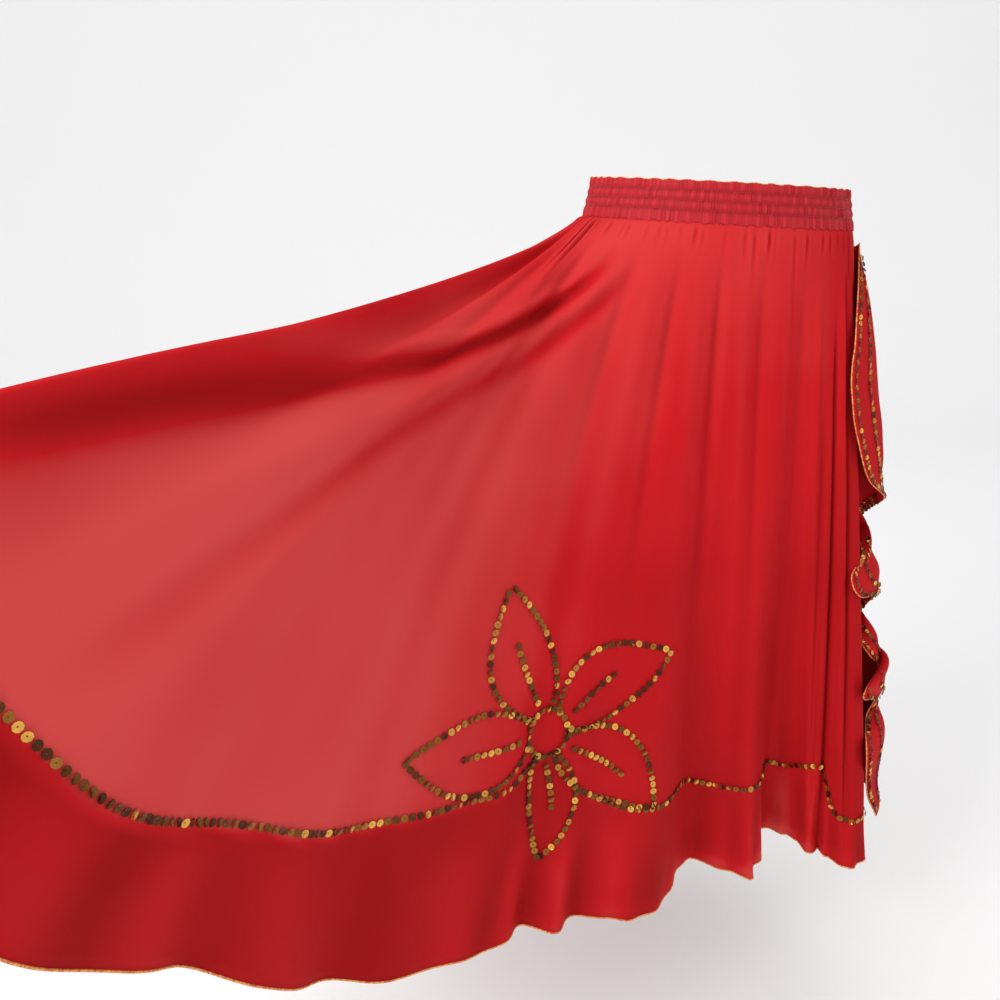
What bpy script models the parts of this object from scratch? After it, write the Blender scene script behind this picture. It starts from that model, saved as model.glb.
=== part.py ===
"""A red chiffon dance skirt with a shirred waistband, held out to one side.

Lengths are in metres and +Z is up. The skirt opens round the Z axis, its front faces -Y, and
it is held out towards -X. Each panel is a sheet that is worked out from the waist ring, the
stations of the hem and the table of folds, then given its wall.
"""

import math

import bmesh
import bpy
import numpy as np

# Waistband
BAND_HEIGHT = 0.039
BAND_TOP_HALF_WIDTH = 0.1390
BAND_TOP_HALF_DEPTH = 0.1000
BAND_FOOT_HALF_WIDTH = 0.1460
BAND_FOOT_HALF_DEPTH = 0.1050
BAND_WALL = 0.0020
BAND_TILT = 0.050
BAND_GATHERS = 48
BAND_PUCKER = 0.0010
BAND_PUFF = 0.0012
BAND_PUFFS = 3

# Cloth
CLOTH_WALL = 0.0015
SEAM_GAP = 0.0003
FLOUNCE_GAP = 0.00045
LEFT_SEAM = 184.0
GATHERS = 60
GATHER_DEPTH = 0.0024
GATHER_FADE = 0.13

FRONT_ACROSS = 112
BACK_ACROSS = 80
DOWN = (0.0, 0.02, 0.05, 0.09, 0.15, 0.24, 0.34, 0.46, 0.58, 0.70, 0.82, 0.92, 1.0)

# Stations of the cloth: the turn from the right side seam towards the front in degrees, the
# hem's place, then the two handles of the curve from band to hem, each as shares of the way
# out and of the way down.
STATION_COLUMNS = ("turn", "x", "y", "z", "out1", "down1", "out2", "down2")
STATIONS = (
    (0.0, 0.233, 0.010, -0.790, 0.42, 0.30, 0.75, 0.66),
    (28.0, 0.206, -0.082, -0.794, 0.40, 0.30, 0.72, 0.66),
    (58.0, 0.130, -0.088, -0.778, 0.36, 0.32, 0.70, 0.66),
    (82.0, 0.045, -0.120, -0.778, 0.36, 0.32, 0.70, 0.66),
    (102.0, -0.065, -0.180, -0.772, 0.38, 0.30, 0.72, 0.64),
    (118.0, -0.190, -0.243, -0.748, 0.40, 0.28, 0.76, 0.62),
    (131.0, -0.283, -0.313, -0.736, 0.40, 0.24, 0.80, 0.58),
    (143.0, -0.400, -0.402, -0.672, 0.38, 0.22, 0.80, 0.55),
    (153.0, -0.475, -0.500, -0.550, 0.35, 0.22, 0.78, 0.52),
    (162.0, -0.540, -0.610, -0.415, 0.30, 0.24, 0.74, 0.55),
    (170.0, -0.600, -0.670, -0.240, 0.22, 0.32, 0.68, 0.70),
    (177.0, -0.640, -0.670, -0.107, 0.10, 0.47, 0.62, 1.02),
    (184.0, -0.655, -0.600, -0.205, 0.20, 0.32, 0.68, 0.70),
    (191.0, -0.650, -0.490, -0.420, 0.28, 0.26, 0.72, 0.58),
    (199.0, -0.618, -0.370, -0.580, 0.34, 0.24, 0.76, 0.55),
    (209.0, -0.560, -0.230, -0.690, 0.38, 0.25, 0.78, 0.58),
    (223.0, -0.460, -0.030, -0.770, 0.40, 0.28, 0.76, 0.62),
    (241.0, -0.310, 0.140, -0.795, 0.42, 0.30, 0.74, 0.64),
    (264.0, -0.110, 0.225, -0.798, 0.42, 0.30, 0.74, 0.65),
    (290.0, 0.070, 0.225, -0.798, 0.42, 0.30, 0.74, 0.66),
    (320.0, 0.190, 0.145, -0.796, 0.42, 0.30, 0.75, 0.66),
    (345.0, 0.229, 0.062, -0.792, 0.42, 0.30, 0.75, 0.66),
)

# Folds: the turn of the crest, its half width in degrees, how far it stands out at the hem
# in metres (a trough is negative), where it starts from band 0 to hem 1, and how far its
# crest leans round at the hem in metres.
FOLD_COLUMNS = ("turn", "half", "reach", "start", "lean")
FOLDS = (
    (5.0, 6.0, 0.012, 0.10, 0.000),
    (15.0, 6.0, -0.024, 0.12, 0.000),
    (31.0, 9.0, 0.032, 0.08, 0.012),
    (40.0, 4.0, -0.010, 0.30, 0.000),
    (47.0, 5.0, 0.014, 0.15, 0.006),
    (63.0, 7.0, -0.032, 0.12, -0.006),
    (78.0, 7.0, 0.034, 0.08, 0.010),
    (91.0, 6.0, -0.024, 0.18, -0.006),
    (106.0, 7.0, 0.041, 0.10, 0.012),
    (111.0, 4.0, -0.016, 0.25, -0.004),
    (117.0, 4.5, 0.018, 0.30, 0.008),
    (123.0, 3.5, -0.010, 0.35, 0.000),
    (127.5, 3.5, 0.012, 0.30, 0.004),
    (132.5, 3.0, -0.008, 0.40, 0.000),
    (137.0, 3.0, 0.010, 0.35, 0.004),
    (142.0, 3.5, -0.008, 0.30, 0.000),
    (148.0, 4.0, 0.010, 0.25, 0.004),
    (154.0, 3.5, -0.008, 0.30, 0.000),
    (160.0, 4.0, 0.010, 0.20, 0.002),
    (171.0, 4.0, -0.026, 0.04, 0.000),
    (187.0, 4.0, -0.016, 0.10, 0.000),
    (193.0, 4.0, 0.016, 0.25, 0.000),
    (200.0, 4.0, -0.020, 0.20, 0.000),
    (208.0, 5.0, 0.026, 0.20, 0.004),
    (217.0, 5.0, -0.028, 0.18, 0.000),
    (226.0, 5.5, 0.032, 0.12, 0.008),
    (236.0, 5.5, -0.032, 0.15, 0.000),
    (246.0, 6.0, 0.034, 0.08, 0.010),
    (257.0, 6.0, -0.030, 0.15, 0.000),
    (268.0, 6.5, 0.036, 0.06, 0.010),
    (280.0, 6.5, -0.032, 0.16, 0.000),
    (292.0, 6.5, 0.034, 0.10, 0.010),
    (304.0, 6.5, -0.032, 0.14, 0.000),
    (316.0, 7.0, 0.034, 0.07, 0.008),
    (329.0, 7.0, -0.030, 0.14, 0.000),
    (341.0, 6.0, 0.022, 0.10, 0.004),
    (351.0, 5.0, -0.018, 0.16, 0.000),
)

# Free edge of the side flounce: its place down the seam, the edge's own place, and how far
# the cloth bulges out between the two in metres.
FLOUNCE_COLUMNS = ("seam", "x", "y", "z", "bulge")
FLOUNCE = (
    (0.030, 0.1560, -0.0120, -0.041, 0.004),
    (0.110, 0.1480, -0.0450, -0.088, 0.034),
    (0.200, 0.1430, -0.0680, -0.140, 0.055),
    (0.290, 0.1430, -0.0780, -0.197, 0.070),
    (0.335, 0.1560, -0.0780, -0.247, 0.072),
    (0.362, 0.1840, -0.0580, -0.300, 0.055),
    (0.380, 0.2200, -0.0220, -0.332, 0.012),
    (0.397, 0.2210, 0.0150, -0.358, 0.004),
    (0.418, 0.2090, 0.0240, -0.377, 0.004),
    (0.445, 0.1980, -0.0200, -0.385, 0.030),
    (0.470, 0.1870, -0.0580, -0.391, 0.040),
    (0.495, 0.1650, -0.0900, -0.407, 0.056),
    (0.522, 0.1830, -0.0840, -0.433, 0.062),
    (0.540, 0.2240, -0.0350, -0.450, 0.024),
    (0.560, 0.2350, 0.0170, -0.490, 0.006),
    (0.585, 0.2240, 0.0240, -0.511, 0.006),
    (0.615, 0.2080, -0.0340, -0.512, 0.034),
    (0.640, 0.2160, -0.0560, -0.526, 0.046),
    (0.660, 0.2380, -0.0360, -0.552, 0.030),
    (0.680, 0.1940, -0.1060, -0.542, 0.084),
    (0.705, 0.1900, -0.1120, -0.552, 0.082),
    (0.730, 0.2240, -0.0650, -0.580, 0.062),
    (0.762, 0.2200, -0.0620, -0.606, 0.056),
    (0.820, 0.2030, -0.1120, -0.626, 0.078),
    (0.885, 0.2360, -0.0620, -0.722, 0.060),
    (0.945, 0.2650, -0.0380, -0.777, 0.045),
)
FLOUNCE_ALONG = 76
FLOUNCE_OUT = 5


def smooth_table(places, values, at, period=None):
    """Reads a table at the places asked for, along a smooth curve through its rows."""
    places = np.asarray(places, float)
    values = np.asarray(values, float)
    if period:
        places = np.concatenate([places[-2:] - period, places, places[:3] + period])
        values = np.concatenate([values[-2:], values, values[:3]])
    steps = np.diff(places)
    rises = np.diff(values, axis=0) / steps[:, None]
    slopes = np.empty_like(values)
    slopes[0], slopes[-1] = rises[0], rises[-1]
    share = (steps[1:] / (steps[:-1] + steps[1:]))[:, None]
    slopes[1:-1] = rises[:-1] * share + rises[1:] * (1 - share)
    row = np.clip(np.searchsorted(places, at, side="right") - 1, 0, len(steps) - 1)
    step = steps[row][:, None]
    f = ((at - places[row]) / steps[row])[:, None]
    return (
        values[row] * (1 + 2 * f) * (1 - f) ** 2
        + values[row + 1] * f**2 * (3 - 2 * f)
        + slopes[row] * step * f * (1 - f) ** 2
        - slopes[row + 1] * step * f**2 * (1 - f)
    )


def ease(x):
    """Rises from 0 to 1 without a corner."""
    x = np.clip(x, 0.0, 1.0)
    return x * x * (3 - 2 * x)


def waist_ring(turn, share):
    """Point on the outside of the waistband, share 0 at its top and 1 at its foot."""
    angle = np.radians(turn)
    wide = BAND_TOP_HALF_WIDTH + (BAND_FOOT_HALF_WIDTH - BAND_TOP_HALF_WIDTH) * share
    deep = BAND_TOP_HALF_DEPTH + (BAND_FOOT_HALF_DEPTH - BAND_TOP_HALF_DEPTH) * share
    x = wide * np.cos(angle)
    y = -deep * np.sin(angle)
    z = BAND_HEIGHT * (0.5 - share) - BAND_TILT * x
    return np.stack([x, y, z + 0 * x], axis=-1)


def level_out(grid):
    """Level unit vector that points out of the cloth at each point of a grid."""
    along = np.gradient(grid, axis=0)
    out = np.stack([-along[..., 1], along[..., 0], 0 * along[..., 0]], axis=-1)
    return out / np.maximum(np.linalg.norm(out, axis=-1, keepdims=True), 1e-9)


def base_cloth(turns, downs):
    """The cloth with no folds in it, as a grid of turns by downs."""
    table = np.array(STATIONS)
    read = smooth_table(table[:, 0], table[:, 1:], turns % 360.0, 360.0)
    hem = read[:, :3]
    top = waist_ring(turns, 1.0) - [0, 0, SEAM_GAP]
    way = hem - top
    first = top + way * np.stack([read[:, 3], read[:, 3], read[:, 4]], axis=-1)
    second = top + way * np.stack([read[:, 5], read[:, 5], read[:, 6]], axis=-1)
    v = np.asarray(downs)[None, :, None]
    return (
        top[:, None] * (1 - v) ** 3
        + 3 * first[:, None] * v * (1 - v) ** 2
        + 3 * second[:, None] * v**2 * (1 - v)
        + hem[:, None] * v**3
    )


def cloth(turns, downs):
    """The outside of the cloth as a grid of turns by downs, with its folds and gathers."""
    turns = np.asarray(turns, float)
    downs = np.asarray(downs, float)
    grid = base_cloth(turns, downs)
    nudge = 0.5
    side = base_cloth(turns + nudge, downs) - base_cloth(turns - nudge, downs)
    rise = np.gradient(grid, downs, axis=1)
    out = np.cross(side, rise)
    out /= np.linalg.norm(out, axis=-1, keepdims=True)
    side /= np.linalg.norm(side, axis=-1, keepdims=True)
    for turn, half, reach, start, lean in FOLDS:
        away = (turns - turn + 180.0) % 360.0 - 180.0
        swell = np.where(abs(away) < 2 * half, 0.5 + 0.5 * np.cos(np.pi * away / (2 * half)), 0)
        grow = ease((downs - start) / (1.0 - start) * 0.5) * 2.0
        grid += (reach * swell[:, None] * grow[None, :])[..., None] * out
        grid += (lean * swell[:, None] * grow[None, :])[..., None] * side
    ring = GATHERS * np.radians(turns)
    wave = np.cos(ring + 0.9 * np.sin(3.1 * np.radians(turns)))
    fade = (1 - ease(downs / GATHER_FADE)) * ease(downs / 0.03)
    uneven = 1.0 + 0.35 * np.sin(5.3 * np.radians(turns)) * np.cos(2.1 * np.radians(turns))
    wave = wave * uneven
    grid += (GATHER_DEPTH * wave[:, None] * fade[None, :])[..., None] * out
    return grid


def wall_of(grid, across, wall):
    """The other side of a sheet, one wall inside the grid."""
    out = np.cross(across, np.gradient(grid, axis=1))
    out /= np.maximum(np.linalg.norm(out, axis=-1, keepdims=True), 1e-12)
    return grid - out * wall


def sheet_object(name, grid, inner, material, closed=False):
    """A closed body between two grids of the same shape."""
    across, down = grid.shape[:2]
    mesh = bmesh.new()
    outside = [[mesh.verts.new(p) for p in row] for row in grid]
    inside = [[mesh.verts.new(p) for p in row] for row in inner]
    last = across if closed else across - 1
    for i in range(last):
        k = (i + 1) % across
        for j in range(down - 1):
            mesh.faces.new(
                (outside[i][j], outside[i][j + 1], outside[k][j + 1], outside[k][j])
            )
            mesh.faces.new(
                (inside[i][j], inside[k][j], inside[k][j + 1], inside[i][j + 1])
            )
        for j, turned in ((0, False), (down - 1, True)):
            corners = [outside[i][j], outside[k][j], inside[k][j], inside[i][j]]
            mesh.faces.new(corners[::-1] if turned else corners)
    if not closed:
        for i, turned in ((0, True), (across - 1, False)):
            for j in range(down - 1):
                corners = [
                    outside[i][j],
                    outside[i][j + 1],
                    inside[i][j + 1],
                    inside[i][j],
                ]
                mesh.faces.new(corners if turned else corners[::-1])
    bmesh.ops.recalc_face_normals(mesh, faces=mesh.faces)
    data = bpy.data.meshes.new(name)
    mesh.to_mesh(data)
    mesh.free()
    for face in data.polygons:
        face.use_smooth = True
    data.materials.append(material)
    made = bpy.data.objects.new(name, data)
    bpy.context.scene.collection.objects.link(made)
    return made


def material(name, colour, roughness):
    made = bpy.data.materials.new(name)
    made.use_nodes = True
    shader = made.node_tree.nodes["Principled BSDF"]
    shader.inputs["Base Color"].default_value = (*colour, 1.0)
    shader.inputs["Roughness"].default_value = roughness
    shader.inputs["Metallic"].default_value = 0.0
    return made


def waistband(finish):
    """Shirred elastic band, with puffs between its rows of stitching."""
    turns = np.linspace(0.0, 360.0, 2 * BAND_GATHERS, endpoint=False)
    rows = np.linspace(0.0, 1.0, 2 * BAND_PUFFS + 1)
    grid = np.stack([waist_ring(turns, row) for row in rows], axis=1)
    out = level_out(np.concatenate([grid[-1:], grid, grid[:1]]))[1:-1]
    ridge = np.where(np.arange(len(turns)) % 2 == 0, 1.0, -1.0)
    puff = np.sin(np.pi * BAND_PUFFS * rows) ** 2
    bulge = BAND_PUCKER * ridge[:, None] * (0.4 + 0.6 * puff) + BAND_PUFF * puff
    outer = grid + out * bulge[..., None]
    inner = grid - out * BAND_WALL
    return sheet_object("waistband", outer, inner, finish, closed=True)


def panel(name, first, last, columns, downs, finish):
    """A panel of cloth between two side seams."""
    turns = np.linspace(first, last, columns)
    grid = cloth(turns, downs)
    across = cloth(turns + 0.3, downs) - cloth(turns - 0.3, downs)
    inner = wall_of(grid, across, CLOTH_WALL)
    way = across[[0, -1]] / np.linalg.norm(across[[0, -1]], axis=-1, keepdims=True)
    for edge, shift in ((0, way[0]), (-1, -way[1])):
        grid[edge] += shift * SEAM_GAP
        inner[edge] += shift * SEAM_GAP
    return sheet_object(name, grid, inner, finish)


def side_flounce(finish):
    """Flounce that falls in tiers down the right side seam."""
    table = np.array(FLOUNCE)
    places = np.linspace(table[0, 0], table[-1, 0], FLOUNCE_ALONG)
    read = smooth_table(table[:, 0], table[:, 1:], places)
    edge, bulge = read[:, :3], read[:, 3:]
    rows = cloth(np.array([-0.3, 0.0, 0.3]), DOWN)
    seam = np.stack([np.interp(places, DOWN, rows[1, :, k]) for k in range(3)], axis=1)
    across = np.stack([np.interp(places, DOWN, (rows[2] - rows[0])[:, k]) for k in range(3)], 1)
    out = np.cross(across, np.gradient(seam, axis=0))
    out /= np.linalg.norm(out, axis=-1, keepdims=True)
    share = np.linspace(0.0, 1.0, FLOUNCE_OUT + 1)[None, :, None]
    bend = (seam + edge) / 2 + bulge * np.array([1.0, 0.3, 0.1])
    grid = (
        seam[:, None] * (1 - share) ** 2
        + 2 * bend[:, None] * share * (1 - share)
        + edge[:, None] * share**2
    )
    inner = wall_of(grid, np.gradient(grid, axis=0), CLOTH_WALL)
    for side in (grid, inner):
        away = ((side[:, 0] - seam) * out).sum(axis=-1, keepdims=True)
        side[:, 0] += out * (FLOUNCE_GAP - away)
    return sheet_object("side_flounce", grid, inner, finish)


def main():
    for old in list(bpy.data.objects):
        bpy.data.objects.remove(old, do_unlink=True)
    red = material("red_chiffon", (0.60, 0.012, 0.018), 0.65)
    band_red = material("red_band", (0.62, 0.018, 0.03), 0.60)
    waistband(band_red)
    panel("front_panel", 0.0, LEFT_SEAM, FRONT_ACROSS, DOWN, red)
    panel("back_panel", LEFT_SEAM, 360.0, BACK_ACROSS, DOWN, red)
    side_flounce(red)


main()
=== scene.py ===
"""Looks of a red chiffon dance skirt with a shirred band, sequins and a tiered side flounce."""

from __future__ import annotations

import logging
import math
from dataclasses import dataclass, field
from enum import Enum

import bmesh
import bpy
import numpy as np
from bmesh.types import BMesh, BMVert
from bpy.types import Material, Mesh, Node, NodeSocket, Object
from mathutils import Euler, Matrix, Vector
from mathutils.bvhtree import BVHTree


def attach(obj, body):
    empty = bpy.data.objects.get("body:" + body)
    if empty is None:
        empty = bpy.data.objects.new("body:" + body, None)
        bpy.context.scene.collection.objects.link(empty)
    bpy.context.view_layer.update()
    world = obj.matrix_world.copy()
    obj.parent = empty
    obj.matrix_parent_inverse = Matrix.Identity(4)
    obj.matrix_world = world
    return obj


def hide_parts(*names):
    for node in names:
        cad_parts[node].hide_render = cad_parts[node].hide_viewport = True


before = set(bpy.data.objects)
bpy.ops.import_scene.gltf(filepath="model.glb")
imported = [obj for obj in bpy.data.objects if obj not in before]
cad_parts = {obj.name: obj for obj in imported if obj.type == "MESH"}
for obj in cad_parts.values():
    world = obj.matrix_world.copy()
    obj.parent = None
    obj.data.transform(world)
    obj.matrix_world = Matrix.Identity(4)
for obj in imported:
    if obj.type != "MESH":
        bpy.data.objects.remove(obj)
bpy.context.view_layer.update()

logging.basicConfig(level=logging.INFO, format="%(message)s")
log = logging.getLogger("skirt")

Array = np.ndarray
Triple = tuple[float, float, float]

CIRCLE = 360.0
WELD = 1e-6

STATIONS = (
    # turn, x, y, z, out1, down1, out2, down2
    (0.0, 0.233, 0.01, -0.79, 0.42, 0.3, 0.75, 0.66),
    (28.0, 0.206, -0.082, -0.794, 0.4, 0.3, 0.72, 0.66),
    (58.0, 0.13, -0.088, -0.778, 0.36, 0.32, 0.7, 0.66),
    (82.0, 0.045, -0.12, -0.778, 0.36, 0.32, 0.7, 0.66),
    (102.0, -0.065, -0.18, -0.772, 0.38, 0.3, 0.72, 0.64),
    (118.0, -0.19, -0.243, -0.748, 0.4, 0.28, 0.76, 0.62),
    (131.0, -0.283, -0.313, -0.736, 0.4, 0.24, 0.8, 0.58),
    (143.0, -0.4, -0.402, -0.672, 0.38, 0.22, 0.8, 0.55),
    (153.0, -0.475, -0.5, -0.55, 0.35, 0.22, 0.78, 0.52),
    (162.0, -0.54, -0.61, -0.415, 0.3, 0.24, 0.74, 0.55),
    (170.0, -0.6, -0.67, -0.24, 0.22, 0.32, 0.68, 0.7),
    (177.0, -0.64, -0.67, -0.107, 0.1, 0.47, 0.62, 1.02),
    (184.0, -0.655, -0.6, -0.205, 0.2, 0.32, 0.68, 0.7),
    (191.0, -0.65, -0.49, -0.42, 0.28, 0.26, 0.72, 0.58),
    (199.0, -0.618, -0.37, -0.58, 0.34, 0.24, 0.76, 0.55),
    (209.0, -0.56, -0.23, -0.69, 0.38, 0.25, 0.78, 0.58),
    (223.0, -0.46, -0.03, -0.77, 0.4, 0.28, 0.76, 0.62),
    (241.0, -0.31, 0.14, -0.795, 0.42, 0.3, 0.74, 0.64),
    (264.0, -0.11, 0.225, -0.798, 0.42, 0.3, 0.74, 0.65),
    (290.0, 0.07, 0.225, -0.798, 0.42, 0.3, 0.74, 0.66),
    (320.0, 0.19, 0.145, -0.796, 0.42, 0.3, 0.75, 0.66),
    (345.0, 0.229, 0.062, -0.792, 0.42, 0.3, 0.75, 0.66),
)

FOLDS = (
    # turn of the crest, half width, reach at the hem, start, lean
    (5.0, 6.0, 0.012, 0.1, 0.0),
    (15.0, 6.0, -0.024, 0.12, 0.0),
    (31.0, 9.0, 0.032, 0.08, 0.012),
    (40.0, 4.0, -0.01, 0.3, 0.0),
    (47.0, 5.0, 0.014, 0.15, 0.006),
    (63.0, 7.0, -0.032, 0.12, -0.006),
    (78.0, 7.0, 0.034, 0.08, 0.01),
    (91.0, 6.0, -0.024, 0.18, -0.006),
    (106.0, 7.0, 0.041, 0.1, 0.012),
    (111.0, 4.0, -0.016, 0.25, -0.004),
    (117.0, 4.5, 0.018, 0.3, 0.008),
    (123.0, 3.5, -0.01, 0.35, 0.0),
    (127.5, 3.5, 0.012, 0.3, 0.004),
    (132.5, 3.0, -0.008, 0.4, 0.0),
    (137.0, 3.0, 0.01, 0.35, 0.004),
    (142.0, 3.5, -0.008, 0.3, 0.0),
    (148.0, 4.0, 0.01, 0.25, 0.004),
    (154.0, 3.5, -0.008, 0.3, 0.0),
    (160.0, 4.0, 0.01, 0.2, 0.002),
    (171.0, 4.0, -0.026, 0.04, 0.0),
    (187.0, 4.0, -0.016, 0.1, 0.0),
    (193.0, 4.0, 0.016, 0.25, 0.0),
    (200.0, 4.0, -0.02, 0.2, 0.0),
    (208.0, 5.0, 0.026, 0.2, 0.004),
    (217.0, 5.0, -0.028, 0.18, 0.0),
    (226.0, 5.5, 0.032, 0.12, 0.008),
    (236.0, 5.5, -0.032, 0.15, 0.0),
    (246.0, 6.0, 0.034, 0.08, 0.01),
    (257.0, 6.0, -0.03, 0.15, 0.0),
    (268.0, 6.5, 0.036, 0.06, 0.01),
    (280.0, 6.5, -0.032, 0.16, 0.0),
    (292.0, 6.5, 0.034, 0.1, 0.01),
    (304.0, 6.5, -0.032, 0.14, 0.0),
    (316.0, 7.0, 0.034, 0.07, 0.008),
    (329.0, 7.0, -0.03, 0.14, 0.0),
    (341.0, 6.0, 0.022, 0.1, 0.004),
    (351.0, 5.0, -0.018, 0.16, 0.0),
)

CREASES = (
    # turn, half width, reach, start, stop
    (14.0, 2.2, -0.004, 0.04, 1.1),
    (22.0, 1.2, -0.01, 0.04, 1.4),
    (27.0, 2.2, 0.004, 0.06, 1.4),
    (33.0, 1.1, -0.0105, 0.03, 1.3),
    (37.0, 1.8, 0.0035, 0.02, 1.1),
    (41.5, 1.1, -0.0095, 0.1, 1.5),
    (48.0, 1.6, -0.0045, 0.22, 1.2),
    (53.0, 2.4, 0.0036, 0.04, 0.9),
    (61.0, 2.4, -0.0036, 0.04, 0.8),
    (70.5, 3.4, 0.0028, 0.02, 0.7),
    (79.0, 2.2, -0.0038, 0.03, 0.8),
    (87.0, 3.2, 0.0028, 0.02, 0.9),
    (95.5, 1.8, -0.0058, 0.02, 0.85),
    (103.0, 3.0, 0.003, 0.03, 0.75),
    (110.5, 2.0, -0.0054, 0.02, 0.7),
    (118.0, 3.2, 0.003, 0.03, 0.6),
    (127.0, 2.6, -0.0044, 0.02, 0.55),
    (137.0, 3.4, 0.0034, 0.03, 0.6),
    (147.5, 2.6, -0.005, 0.02, 0.55),
    (156.0, 3.0, 0.003, 0.03, 0.6),
    (163.5, 2.6, -0.004, 0.02, 0.8),
    (172.5, 2.0, -0.008, 0.01, 1.3),
    (204.0, 2.2, -0.0045, 0.04, 1.0),
    (212.5, 2.8, 0.003, 0.03, 0.8),
    (221.0, 2.0, -0.0042, 0.02, 0.85),
    (231.0, 3.0, 0.0028, 0.02, 0.9),
    (241.5, 2.2, -0.0045, 0.02, 0.75),
    (251.0, 3.2, 0.003, 0.02, 0.85),
    (262.0, 2.4, -0.0036, 0.03, 0.9),
    (274.0, 3.0, 0.003, 0.02, 0.75),
    (286.0, 2.4, -0.0044, 0.02, 0.85),
    (298.0, 3.2, 0.0028, 0.03, 0.8),
    (310.0, 2.2, -0.004, 0.02, 0.8),
    (322.0, 3.0, 0.003, 0.02, 0.9),
    (335.0, 1.8, -0.0055, 0.03, 1.1),
    (346.0, 2.4, 0.003, 0.02, 0.75),
)

SWEEP = (
    # place from band to hem, turn of the long fold that sweeps from the band to the held corner
    (0.0, 134.0),
    (0.1, 138.0),
    (0.17, 145.5),
    (0.27, 155.0),
    (0.38, 164.0),
    (0.5, 170.0),
    (0.62, 173.0),
    (0.8, 175.0),
    (1.0, 176.0),
)

SWEPT_FOLDS = (
    # crest's turn from the sweep, its reach, trough's turn from the sweep, its depth
    (3.0, 0.005, 0.0, 0.009),
    (-5.5, 0.004, -10.0, 0.005),
)

FLOUNCE = (
    # place down the seam, the free edge's x, y and z, and the bulge between
    (0.03, 0.156, -0.012, -0.041, 0.004),
    (0.11, 0.148, -0.045, -0.088, 0.034),
    (0.2, 0.143, -0.068, -0.14, 0.055),
    (0.29, 0.143, -0.078, -0.197, 0.07),
    (0.335, 0.156, -0.078, -0.247, 0.072),
    (0.362, 0.184, -0.058, -0.3, 0.055),
    (0.38, 0.22, -0.022, -0.332, 0.012),
    (0.397, 0.221, 0.015, -0.358, 0.004),
    (0.418, 0.209, 0.024, -0.377, 0.004),
    (0.445, 0.198, -0.02, -0.385, 0.03),
    (0.47, 0.187, -0.058, -0.391, 0.04),
    (0.495, 0.165, -0.09, -0.407, 0.056),
    (0.522, 0.183, -0.084, -0.433, 0.062),
    (0.54, 0.224, -0.035, -0.45, 0.024),
    (0.56, 0.235, 0.017, -0.49, 0.006),
    (0.585, 0.224, 0.024, -0.511, 0.006),
    (0.615, 0.208, -0.034, -0.512, 0.034),
    (0.64, 0.216, -0.056, -0.526, 0.046),
    (0.66, 0.238, -0.036, -0.552, 0.03),
    (0.68, 0.194, -0.106, -0.542, 0.084),
    (0.705, 0.19, -0.112, -0.552, 0.082),
    (0.73, 0.224, -0.065, -0.58, 0.062),
    (0.762, 0.22, -0.062, -0.606, 0.056),
    (0.82, 0.203, -0.112, -0.626, 0.078),
    (0.885, 0.236, -0.062, -0.722, 0.06),
    (0.945, 0.265, -0.038, -0.777, 0.045),
)

PETALS = (
    # heading, length, width, vein's share of the length
    (101.0, 0.172, 0.07, 0.46),
    (23.0, 0.158, 0.07, 0.44),
    (-45.0, 0.16, 0.072, 0.5),
    (-97.0, 0.144, 0.046, 0.4),
    (170.0, 0.168, 0.078, 0.42),
)

LINE = (
    # turn, place of the sequin line from band 0 to hem 1
    (0.0, 0.9),
    (22.0, 0.905),
    (33.0, 0.916),
    (37.0, 0.905),
    (41.0, 0.848),
    (46.0, 0.838),
    (52.0, 0.846),
    (58.0, 0.862),
    (70.0, 0.845),
    (80.0, 0.845),
    (90.0, 0.85),
    (95.0, 0.836),
    (104.0, 0.836),
    (110.0, 0.834),
    (114.0, 0.815),
    (121.0, 0.76),
    (124.0, 0.768),
    (127.0, 0.788),
    (131.0, 0.802),
    (138.0, 0.816),
    (143.0, 0.835),
    (150.0, 0.858),
    (156.0, 0.873),
    (166.0, 0.873),
    (178.0, 0.87),
    (200.0, 0.862),
    (240.0, 0.852),
    (300.0, 0.85),
    (340.0, 0.862),
    (360.0, 0.9),
)

# Paleness of the chiffon's colour round the skirt: low shares paint it dark where it lies doubled
# and where shade falls in its folds, high shares paint light into it where it is sheer.
SHEER_LIGHT_AND_SHADE = (
    # turn, share near the band, share over the sequin line, share under it
    (5.0, 0.26, 0.24, 0.18),
    (30.0, 0.3, 0.22, 0.22),
    (48.0, 0.54, 0.3, 0.36),
    (70.0, 0.58, 0.36, 0.4),
    (95.0, 0.6, 0.38, 0.3),
    (115.0, 0.62, 0.42, 0.22),
    (130.0, 0.68, 0.58, 0.18),
    (142.0, 0.7, 0.84, 0.16),
    (158.0, 0.62, 0.92, 0.14),
    (170.0, 0.52, 0.96, 0.12),
    (175.0, 0.45, 0.62, 0.1),
    (180.0, 0.45, 0.44, 0.12),
    (190.0, 0.5, 0.64, 0.14),
    (215.0, 0.58, 0.5, 0.2),
    (260.0, 0.58, 0.4, 0.28),
    (310.0, 0.56, 0.38, 0.3),
    (345.0, 0.38, 0.3, 0.24),
)


class Side(Enum):
    """Which panel of the skirt a piece belongs to."""

    FRONT = "front"
    BACK = "back"


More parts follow.
